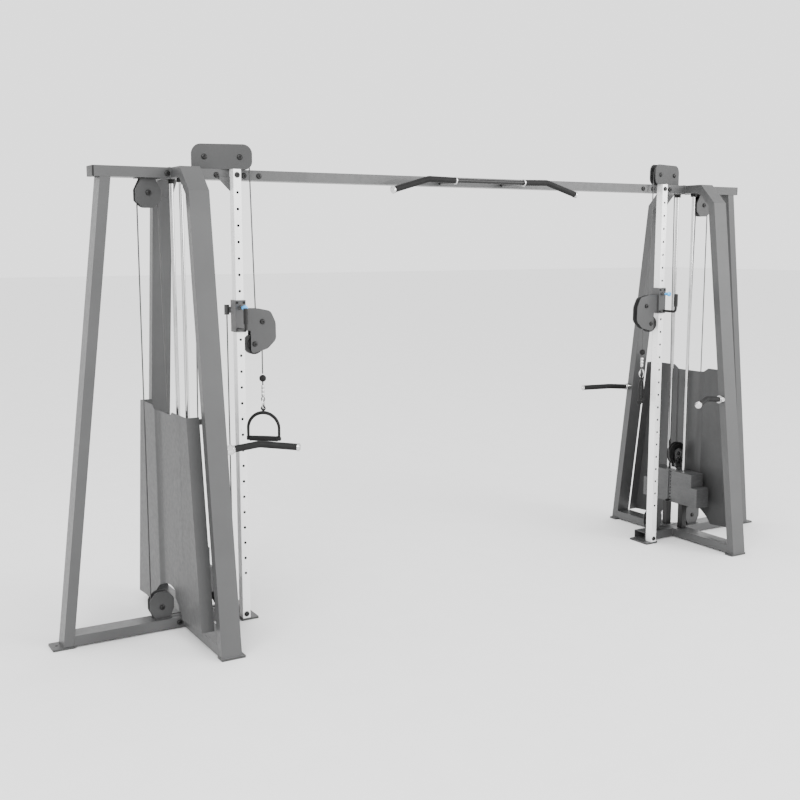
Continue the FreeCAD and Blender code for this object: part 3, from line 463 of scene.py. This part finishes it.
def bolt_head(name, face, out, radius, body):
    """Washer and button head with a hexagonal socket, standing on a face."""
    washer = lathe(name + "_w", [(0.0, 0.0), (radius, 0.0), (radius, WASHER), (0.0, WASHER)], face, out,
                   body, "black_paint", sides=WASHER_SIDES)
    axes = axes_across(out)
    bm = bmesh.new()
    rings = [ring(bm, face + out * height, axes, [radius * share] * HEAD_SIDES)
             for share, height in HEAD_PROFILE]
    flat = radius * SOCKET_SHARE * math.cos(SIXTH / 2)
    hexagon = [flat / math.cos((a + SIXTH / 2) % SIXTH - SIXTH / 2) for a in turns(HEAD_SIDES)]
    rings += [ring(bm, face + out * height, axes, hexagon) for height in SOCKET_HEIGHTS]
    skin(bm, rings)
    return [washer, piece(name, bm, body, "black_paint", HEAD_SMOOTH)]


def hex_nut(name, face, out, radius, body):
    """Hexagonal nut with a chamfered outer rim."""
    axes = axes_across(out)
    bm = bmesh.new()
    skin(bm, [ring(bm, face + out * height, axes, [radius * share] * 6) for share, height in NUT_PROFILE])
    return piece(name, bm, body, "black_paint", HEAD_SMOOTH)


def dress_bolts(node):
    """Socket-head bolts with hexagonal nuts in the place of a CAD node's plain ones."""
    bm, found = islands(node)
    body = body_of(node)
    heads, shanks = [], []
    for i, (low, high, group) in enumerate(found):
        if not is_bolt(low, high):
            continue
        centre = (low + high) / 2
        tilt = top_tilt(centre)
        out = Vector((math.sin(tilt), -math.cos(tilt), 0))
        reach = [(bm.verts[k].co - centre).dot(out) for k in group]
        radius = (high.z - low.z) / 2
        face = centre + out * (max(reach) - BOLT_HEAD)
        back = centre + out * (min(reach) + BOLT_HEAD)
        sink = out * SHANK_SINK
        name = f"{node}_bolt_{i}"
        heads += bolt_head(name, face, out, radius, body)
        heads.append(hex_nut(name + "_nut", back, -out, radius * NUT_SHARE, body))
        shanks.append(tube(name + "_shank", [back - sink, face + sink], SHANK_R, body, "steel",
                           sides=SHANK_SIDES))
    bm.free()
    joined(f"{node}_shanks", shanks)
    return joined(f"{node}_bolts", heads)


for node in ("frame_bolts", "pulley_axles"):
    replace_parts(dress_bolts(node), node)
for side, _ in SIDES:
    for part in ("carriage_plates", "selector_stem"):
        dress_bolts(f"{side}_{part}")


# ------------------------------------------------------------------ weld beads

WELD_R = 0.0032
BEAM_WELD_R = 0.0026
WELD_STEP = 0.006
WELD_SIDES = 8
WELD_EVEN = 0.86
# Each wave of unevenness, as (share of the bead's radius, turn for each step).
WELD_WAVES = ((0.2, 1.9), (0.06, 0.37))
WELD_OUT = 0.0006
WELD_LIFT = 0.001
LEVEL_SLACK = 0.0008
TUBE_WIDTH = 0.03


def bead(name, corners, radius=WELD_R):
    """A slightly uneven weld round a closed line of corners."""
    points = []
    for a, b in zip(corners, corners[1:] + corners[:1]):
        steps = max(2, int((b - a).length / WELD_STEP))
        points += [a.lerp(b, k / steps) for k in range(steps)]
    radii = [radius * (WELD_EVEN + sum(share * math.sin(i * turn) for share, turn in WELD_WAVES))
             for i in range(len(points))]
    return tube(name, points, radii, "frame", "weld", sides=WELD_SIDES, closed=True)


def loop_z(low, high, z):
    """Corners of a level loop just outside a box."""
    x0, x1 = low.x - WELD_OUT, high.x + WELD_OUT
    y0, y1 = low.y - WELD_OUT, high.y + WELD_OUT
    return [Vector((x, y, z)) for x, y in ((x0, y0), (x1, y0), (x1, y1), (x0, y1))]


def loop_x(low, high, x):
    """Corners of a loop in an upright plane, just outside a box."""
    y0, y1 = low.y - WELD_OUT, high.y + WELD_OUT
    z0, z1 = low.z - WELD_OUT, high.z + WELD_OUT
    return [Vector((x, y, z)) for y, z in ((y0, z0), (y1, z0), (y1, z1), (y0, z1))]


def section(node, z):
    """Boxes of a node's tubes where they meet a level plane, front and rear apart."""
    bm, found = islands(node)
    cuts = []
    for _, _, group in found:
        points = [bm.verts[i].co for i in group if abs(bm.verts[i].co.z - z) < LEVEL_SLACK]
        for half in ([p for p in points if p.y < 0], [p for p in points if p.y >= 0]):
            if len(half) > 3:
                cuts.append(box_round(half))
    bm.free()
    return cuts


foot_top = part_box("foot_plates")[1].z
leg_low, leg_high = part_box("outer_legs")
beam_low, beam_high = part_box("tower_beams")
BEAM_WELDS = (("beam", beam_low.z, beam_high.z), ("base", foot_top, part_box("base_beams")[1].z))

beads = []
for i, (low, high) in enumerate(section("side_frames", foot_top)):
    beads.append(bead(f"weld_side_{i}", loop_z(low, high, foot_top + WELD_LIFT)))
for i, (low, high) in enumerate(section("outer_legs", foot_top)):
    if high.y - low.y > TUBE_WIDTH:
        beads.append(bead(f"weld_leg_{i}", loop_z(low, high, foot_top + WELD_LIFT)))
for i, (low, high) in enumerate(island_boxes("side_frames")):
    for end, x in (("a", low.x), ("b", high.x)):
        for part, bottom, top in BEAM_WELDS:
            corners = loop_x(Vector((x, leg_low.y, bottom)), Vector((x, leg_high.y, top)), x)
            beads.append(bead(f"weld_{part}_{i}_{end}", corners, BEAM_WELD_R))
joined("weld_beads", beads)


# ------------------------------------------------------------------ cables
# A circle is (distance along its plane, height, radius, +1 when the cable runs clockwise or -1).

CABLE_R = 0.0034
RIM = 0.0055
ARC_STEP = math.radians(5)
STRAIGHT_STEP = 0.03
LEAST_ARC_STEPS = 3
LEAST_STRAIGHT_STEPS = 8
ANGLE_SLACK = 1e-9
UP = math.pi / 2
DOWN = -math.pi / 2


def pitch_radius(node):
    """Radius of the cable's middle line round a pulley, inside its rim."""
    low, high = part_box(node)
    return (high.z - low.z) / 2 - RIM


def tangent(first, second):
    """Angles at which a cable leaves one circle and meets the next."""
    du, dz = second[0] - first[0], second[1] - first[1]
    offset = first[2] * first[3] - second[2] * second[3]
    reach = math.sqrt(du * du + dz * dz - offset * offset)
    normal = math.atan2(dz, du) - math.atan2(offset, reach) + math.pi / 2
    return [normal if circle[3] > 0 else normal - math.pi for circle in (first, second)]


def arc(circle, start, end, place):
    """Points along a pulley's pitch circle, turning the way the cable runs."""
    u, z, radius, sense = circle
    while (start - end) * sense < -ANGLE_SLACK:
        end -= 2 * math.pi * sense
    while (start - end) * sense > 2 * math.pi:
        end += 2 * math.pi * sense
    steps = max(LEAST_ARC_STEPS, int(abs(start - end) / ARC_STEP))
    angles = [start + (end - start) * k / steps for k in range(steps + 1)]
    return [place(u + radius * math.cos(a), z + radius * math.sin(a)) for a in angles]


def straight(a, b):
    """Points from one to another, evenly spaced and close together."""
    steps = max(LEAST_STRAIGHT_STEPS, int((b - a).length / STRAIGHT_STEP))
    return [a.lerp(b, k / steps) for k in range(steps + 1)]


def on_side(points, sign):
    """The right tower's points, or their mirror on the left tower."""
    return [Vector((p.x * sign, p.y, p.z)) for p in points]


def carriage_plane(u, z):
    return Vector((u, lower.y, z))


def stack_plane(u, z):
    return Vector((u, floating.y, z))


def housing_plane(u, z):
    point = inner + along * u
    return Vector((point.x, point.y, z))


def upright_circle(part, sense):
    """Circle of a right-hand pulley that stands in the carriage's or the stack's plane."""
    centre = middle(f"right_{part}")
    return (centre.x, centre.z, pitch_radius(f"right_{part}"), sense)


lower = middle("right_carriage_lower_pulley")
floating = middle("right_floating_pulley")
inner = middle("right_top_inner_pulley")
outer = middle("right_top_outer_pulley")
inner_r = pitch_radius("right_top_inner_pulley")
outer_r = pitch_radius("right_top_outer_pulley")
along = Vector((math.cos(TOP_AXIS[1.0]), math.sin(TOP_AXIS[1.0]), 0))
rise = inner - along * inner_r
drop = outer + along * outer_r

lower_circle = upright_circle("carriage_lower_pulley", 1)
upper_circle = upright_circle("carriage_upper_pulley", -1)
float_circle = upright_circle("floating_pulley", -1)
high_circle = upright_circle("outer_top_pulley", 1)
base_circle = upright_circle("outer_base_pulley", 1)
column_circle = upright_circle("column_pulley", 1)
# The two top pulleys, turned into the planes of their hanging lines about the points where those leave.
rise_circle = (rise.x + inner_r, inner.z, inner_r, 1)
drop_circle = (drop.x - outer_r, outer.z, outer_r, 1)

cross_out, cross_in = tangent(lower_circle, upper_circle)
rise_out, rise_in = tangent(upper_circle, rise_circle)
drop_out, drop_in = tangent(drop_circle, float_circle)
climb_out, climb_in = tangent(float_circle, high_circle)

carriage_run = arc(lower_circle, math.pi, cross_out, carriage_plane)
carriage_run += arc(upper_circle, cross_in, rise_out, carriage_plane)
top_run = arc((0.0, inner.z, inner_r, 1), rise_in, UP, housing_plane)
top_run += arc(((outer - inner).length, outer.z, outer_r, 1), UP, drop_out, housing_plane)
float_run = arc(float_circle, drop_in, climb_out, stack_plane)
return_run = arc(high_circle, climb_in, 0.0, stack_plane)
base_start = stack_plane(base_circle[0] + base_circle[2], base_circle[1])
return_run += straight(return_run[-1], base_start)[1:-1]
return_run += arc(base_circle, 0.0, DOWN, stack_plane)
return_run += arc(column_circle, DOWN, -math.pi, stack_plane)

ball_top = Vector((middle("right_cable_end").x, lower.y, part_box("right_cable_end")[1].z))
anchor_point = stack_plane(column_circle[0] - column_circle[2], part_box("right_anchor_arm")[0].z)

# Each stretch: its points on the right tower, the body at its start and, for a line that runs on to another
# body, the body at its end; such lines are put on no body.
STRETCHES = (
    ("handle_line", straight(carriage_run[0], ball_top), "carriage", "cable_end"),
    ("carriage_line", carriage_run, "carriage", None),
    ("rise_line", straight(top_run[0], carriage_run[-1]), "frame", "carriage"),
    ("top_line", top_run, "frame", None),
    ("stack_line", straight(top_run[-1], float_run[0]), "frame", "stack"),
    ("float_line", float_run, "stack", None),
    ("climb_line", straight(return_run[0], float_run[-1]), "frame", "stack"),
    ("return_line", return_run, "frame", None),
    ("anchor_line", straight(return_run[-1], anchor_point), "frame", "carriage"),
)

for side, sign in SIDES:
    for label, points, start_body, end_body in STRETCHES:
        first_body = start_body if start_body == "frame" else f"{side}_{start_body}"
        placed = on_side(points, sign)
        line = tube(f"{side}_{label}", placed, CABLE_R, None if end_body else first_body, "cable_jacket")
        if end_body:
            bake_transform(line)
        if label == "return_line":
            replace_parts(line, f"{side}_cable")


# ------------------------------------------------------------------ pull handles

ARCH_DROP = 0.104
ARCH_INSET = 0.010
ARCH_STEPS = 28
ARCH_R = 0.0068
ARCH_SWELL = 0.0022
FOOT_LOW = -0.004
FOOT_HIGH = 0.02
EYE_R = 0.0095
EYE_STEPS = 28
EYE_WIRE_R = 0.004
NECK_PROFILE = [(0.0, -0.004), (0.011, -0.004), (0.0095, 0.004), (0.0062, 0.009)]
NECK_TOP_R = 0.006
NECK_GAP = 0.007
GRIP_R = 0.015
GRIP_INSET = 0.008
GRIP_FLANGE = [(0.0115, 0.0), (0.0145, 0.0015), (0.0148, 0.005), (0.0138, 0.0065)]
GRIP_END = [(0.0, -0.001), (0.0105, -0.001), (0.0108, 0.012), (0.009, 0.0165), (0.0, 0.0175)]
RIDGES = 26
RIDGE_START = 0.0075
RIDGE_HALF = 0.0012
RIDGE_TOP = 0.0138
RIDGE_FOOT = 0.0131
GRIP_SWELL = 0.0008
HINGES = {joint["name"]: joint for joint in frame["joints"]}


def handle_pivot(side):
    """Place of the handle's hinge, and the direction of its axis."""
    hinge = HINGES[f"{side}_handle_swing"]
    return Vector(hinge["pos_m"]), Vector(hinge["axis"]).normalized()


def circle_line(centre, across, radius, count):
    """Points round an upright circle."""
    return [centre + across * (radius * math.cos(a)) + Z_DIR * (radius * math.sin(a)) for a in turns(count)]


def handle_arch(body, pivot, across, reach, grip_drop):
    """Half circle of rod with two straight feet, thickest at the crown."""
    feet = [across * -reach + Z_DIR * (grip_drop + height) for height in (FOOT_LOW, FOOT_HIGH)]
    arch = [across * (reach * math.cos(a)) + Z_DIR * (reach * math.sin(a) - ARCH_DROP)
            for a in (math.pi * (1 - k / ARCH_STEPS) for k in range(ARCH_STEPS + 1))]
    path = [pivot + p for p in feet + arch + [Vector((-p.x, -p.y, p.z)) for p in reversed(feet)]]
    radii = [ARCH_R + ARCH_SWELL * math.sin(math.pi * k / (len(path) - 1)) for k in range(len(path))]
    return tube(body + "_arch", path, radii, body, "black_rubber", sides=16)


def grip_profile(length):
    """Outline of the grip: a flange at each end and ridges between."""
    profile = [(0.0, 0.0), *GRIP_FLANGE]
    for k in range(RIDGES):
        s = RIDGE_START + (length - 2 * RIDGE_START) * k / (RIDGES - 1)
        swell = GRIP_SWELL * math.sin(math.pi * k / (RIDGES - 1))
        profile += [(RIDGE_FOOT + swell, s - RIDGE_HALF), (RIDGE_TOP + swell, s),
                    (RIDGE_FOOT + swell, s + RIDGE_HALF)]
    return profile + [(r, length - s) for r, s in reversed(GRIP_FLANGE)] + [(0.0, length)]


def pull_handle(side):
    """Arched frame with an eye, and a ribbed rubber grip with end flanges."""
    body = f"{side}_handle"
    pivot, normal = handle_pivot(side)
    across = normal.cross(Z_DIR).normalized()
    vertices = frame["nodes"][body].data.vertices
    reach = max((v.co - pivot).dot(across) for v in vertices) - ARCH_INSET
    grip_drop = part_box(body)[0].z + GRIP_R - pivot.z
    pieces = [handle_arch(body, pivot, across, reach, grip_drop)]
    crown = pivot + Z_DIR * (reach - ARCH_DROP)
    neck_top = (pivot - crown).z - NECK_GAP
    pieces.append(lathe(body + "_neck", NECK_PROFILE + [(NECK_TOP_R, neck_top), (0.0, neck_top)], crown,
                        Z_DIR, body, "black_rubber", sides=24))
    eye = circle_line(pivot, across, EYE_R, EYE_STEPS)
    pieces.append(tube(body + "_eye", eye, EYE_WIRE_R, body, "black_rubber", sides=12, closed=True))
    length = 2 * (reach - GRIP_INSET)
    start = pivot + Z_DIR * grip_drop - across * (reach - GRIP_INSET)
    pieces.append(lathe(body + "_grip", grip_profile(length), start, across, body, "black_rubber", sides=36,
                        smooth=60))
    for end, way in ((start, -across), (start + across * length, across)):
        pieces.append(lathe(body + "_end", GRIP_END, end, way, body, "black_rubber", sides=28))
    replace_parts(joined(body + "_pull", pieces), body)


# ------------------------------------------------------------------ cable ends

BALL_STEPS = 24
BALL_GROOVE = 0.0012
BALL_TOP_GAP = 0.005
CRIMP_LOW = 0.062
CRIMP_PROFILE = [(0.0, 0.0), (0.0072, 0.0), (0.0085, 0.002), (0.0085, 0.014), (0.0076, 0.0155),
                 (0.0076, 0.019), (0.0085, 0.0205), (0.0085, 0.034), (0.0076, 0.0355), (0.0076, 0.039),
                 (0.0085, 0.0405), (0.0085, 0.055), (0.0072, 0.057), (0.0, 0.057)]
LEAD_SINK = 0.007
LOOP_STEPS = 30
LOOP_RISE = 0.049
LOOP_HALF_WIDTH = 0.0085
LOOP_HALF_HEIGHT = 0.014
LOOP_PINCH = 0.55
LOOP_WIRE_R = 0.0026
LINK_STEPS = 40
LINK_RISE = 0.022
LINK_HALF_WIDTH = 0.0125
LINK_TAPER = 0.0035
LINK_HALF_HEIGHT = 0.0245
LINK_WIRE_R = 0.0032
GATE_RISE = 0.011
GATE_PROFILE = [(0.0, 0.0), (0.0046, 0.0), (0.0052, 0.001), (0.0052, 0.019), (0.0046, 0.02), (0.0, 0.02)]


def ball_stop(body, centre, radius):
    """Rubber ball with a fine groove round its middle."""
    profile = [(0.0, -radius)]
    for k in range(1, BALL_STEPS):
        a = math.pi * k / BALL_STEPS
        groove = BALL_GROOVE if k == BALL_STEPS // 2 else 0.0
        profile.append((radius * math.sin(a) - groove, -radius * math.cos(a)))
    profile.append((0.0, radius))
    return lathe(body + "_ball", profile, centre, Z_DIR, body, "black_rubber", sides=36, smooth=60)


def cable_loop(body, pivot, across):
    """Loop of cable under the crimp sleeve, drawn in at its top."""
    centre = pivot + Z_DIR * LOOP_RISE
    points = []
    for k in range(LOOP_STEPS + 1):
        a = math.pi * (0.5 - 2 * k / LOOP_STEPS)
        pinch = 1.0 - LOOP_PINCH * max(0.0, math.sin(a))
        points.append(centre + across * (LOOP_HALF_WIDTH * math.cos(a) * pinch)
                      + Z_DIR * (LOOP_HALF_HEIGHT * math.sin(a)))
    tube(body + "_loop", points, LOOP_WIRE_R, body, "cable_jacket")


def pear_link(body, pivot, normal):
    """Chromed link, narrower at its top, with a hexagonal screw gate on one side."""
    centre = pivot + Z_DIR * LINK_RISE
    points = [centre + normal * ((LINK_HALF_WIDTH - LINK_TAPER * math.sin(a)) * math.cos(a))
              + Z_DIR * (LINK_HALF_HEIGHT * math.sin(a)) for a in turns(LINK_STEPS)]
    tube(body + "_link", points, LINK_WIRE_R, body, "bright_steel", sides=14, closed=True)
    gate = pivot + Z_DIR * GATE_RISE + normal * LINK_HALF_WIDTH
    lathe(body + "_gate", GATE_PROFILE, gate, Z_DIR, body, "bright_steel", sides=6)


def cable_fittings(side):
    """Ball stop, crimp sleeve, short lead between them, cable loop and link."""
    body = f"{side}_cable_end"
    pivot, normal = handle_pivot(side)
    low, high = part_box(body)
    ball_r = (high.x - low.x) / 2
    ball_centre = Vector((pivot.x, pivot.y, high.z - BALL_TOP_GAP - ball_r))
    ball = ball_stop(body, ball_centre, ball_r)
    crimp = pivot + Z_DIR * CRIMP_LOW
    lathe(body + "_crimp", CRIMP_PROFILE, crimp, Z_DIR, body, "bright_steel", sides=28)
    crimp_top = crimp + Z_DIR * CRIMP_PROFILE[-1][1]
    tube(body + "_lead", [crimp_top - Z_DIR * LEAD_SINK, ball_centre], CABLE_R, body, "cable_jacket")
    cable_loop(body, pivot, normal.cross(Z_DIR))
    pear_link(body, pivot, normal)
    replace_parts(ball, body)


# ------------------------------------------------------------------ carriage screws and pop-pins

SCREW_R = 0.0062
SCREW_FROM_SIDE = 0.009
SCREW_FROM_END = 0.012
SLEEVE_FACE = 0.012
KNOB_LENGTH = 0.034
KNOB_RIBS = 12
KNOB_RIB_DEPTH = 0.0012
KNOB_PROFILE = [(0.0, 0.0), (0.0085, 0.0), (0.0092, 0.004), (0.0088, 0.010), (0.0108, 0.018, 1),
                (0.0138, 0.025, 1), (0.0149, 0.030, 1), (0.0140, 0.0338), (0.0110, 0.0348), (0.0, 0.0345)]
STEM_PROFILE = [(0.0, 0.0), (0.0042, 0.0), (0.005, 0.001), (0.005, 0.030), (0.0078, 0.0305),
                (0.0078, 0.0345), (0.0, 0.0345)]


def sleeve_screws(side):
    """Four small screws on the front of the carriage sleeve."""
    low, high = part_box(f"{side}_carriage_sleeve")
    screws = []
    for x in (low.x + SCREW_FROM_SIDE, high.x - SCREW_FROM_SIDE):
        for z in (low.z + SCREW_FROM_END, high.z - SCREW_FROM_END):
            screws += bolt_head(f"{side}_sleeve_screw_{len(screws)}", Vector((x, low.y + SLEEVE_FACE, z)),
                                -Y_DIR, SCREW_R, f"{side}_carriage")
    joined(f"{side}_sleeve_screws", screws)


def pop_pin(side):
    """Flared blue knob with finger ribs, and the bright stem behind it."""
    body = f"{side}_pop_pin"
    centre = middle(body)
    back = Vector((centre.x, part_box(body)[1].y, centre.z))
    knob = lathe(f"{side}_pop_knob", KNOB_PROFILE, back - Y_DIR * KNOB_LENGTH, -Y_DIR, body, "blue_knob",
                 sides=48, ribs=KNOB_RIBS, rib_depth=KNOB_RIB_DEPTH)
    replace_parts(knob, body)
    lathe(f"{side}_pop_stem", STEM_PROFILE, back, -Y_DIR, body, "bright_steel", sides=28)


for side, _ in SIDES:
    pull_handle(side)
    cable_fittings(side)
    sleeve_screws(side)
    pop_pin(side)


# ------------------------------------------------------------------ floor, light and camera

FLOOR_HALF = 60
FLOOR_Z = -0.0005
WORLD_STRENGTH = 2.0
LIGHT_TARGET = (0, 0, 1.0)
LIGHT_SIZE = 5.0
KEY_PLACE, KEY_POWER = (-7.0, -6.0, 6.5), 700.0
FILL_PLACE, FILL_POWER = (5.0, -7.0, 4.0), 600.0
CAMERA_PLACE = (-3.4539, -5.1177, 1.9235)
CAMERA_TURN = (81.765, 0.06, -30.497)
CAMERA_LENS, CAMERA_SENSOR = 48.73, 36.0


def soft_light(name, place, power):
    lamp = bpy.data.lights.new(name, "AREA")
    lamp.energy = power
    lamp.size = LIGHT_SIZE
    made = bpy.data.objects.new(name, lamp)
    made.location = place
    made.rotation_euler = (Vector(LIGHT_TARGET) - Vector(place)).to_track_quat("-Z", "Y").to_euler()
    bpy.context.scene.collection.objects.link(made)


floor_mesh = bpy.data.meshes.new("floor_mesh")
floor_corners = [(x * FLOOR_HALF, y * FLOOR_HALF, FLOOR_Z) for x, y in ((-1, -1), (1, -1), (1, 1), (-1, 1))]
floor_mesh.from_pydata(floor_corners, [], [(0, 1, 2, 3)])
floor = bpy.data.objects.new("studio_floor", floor_mesh)
bpy.context.scene.collection.objects.link(floor)
floor_mesh.materials.append(material("studio_floor", greys(0.86, 0.88), 0.8, bump=0.0))
floor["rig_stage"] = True

world = bpy.data.worlds.new("studio")
bpy.context.scene.world = world
world.use_nodes = True
world.node_tree.nodes["Background"].inputs["Color"].default_value = (1, 1, 1, 1)
world.node_tree.nodes["Background"].inputs["Strength"].default_value = WORLD_STRENGTH

soft_light("key", KEY_PLACE, KEY_POWER)
soft_light("fill", FILL_PLACE, FILL_POWER)

camera_data = bpy.data.cameras.new("camera")
camera_data.lens = CAMERA_LENS
camera_data.sensor_width = CAMERA_SENSOR
camera = bpy.data.objects.new("camera", camera_data)
camera.location = CAMERA_PLACE
camera.rotation_euler = [math.radians(a) for a in CAMERA_TURN]
bpy.context.scene.collection.objects.link(camera)
bpy.context.scene.camera = camera

low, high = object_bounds()
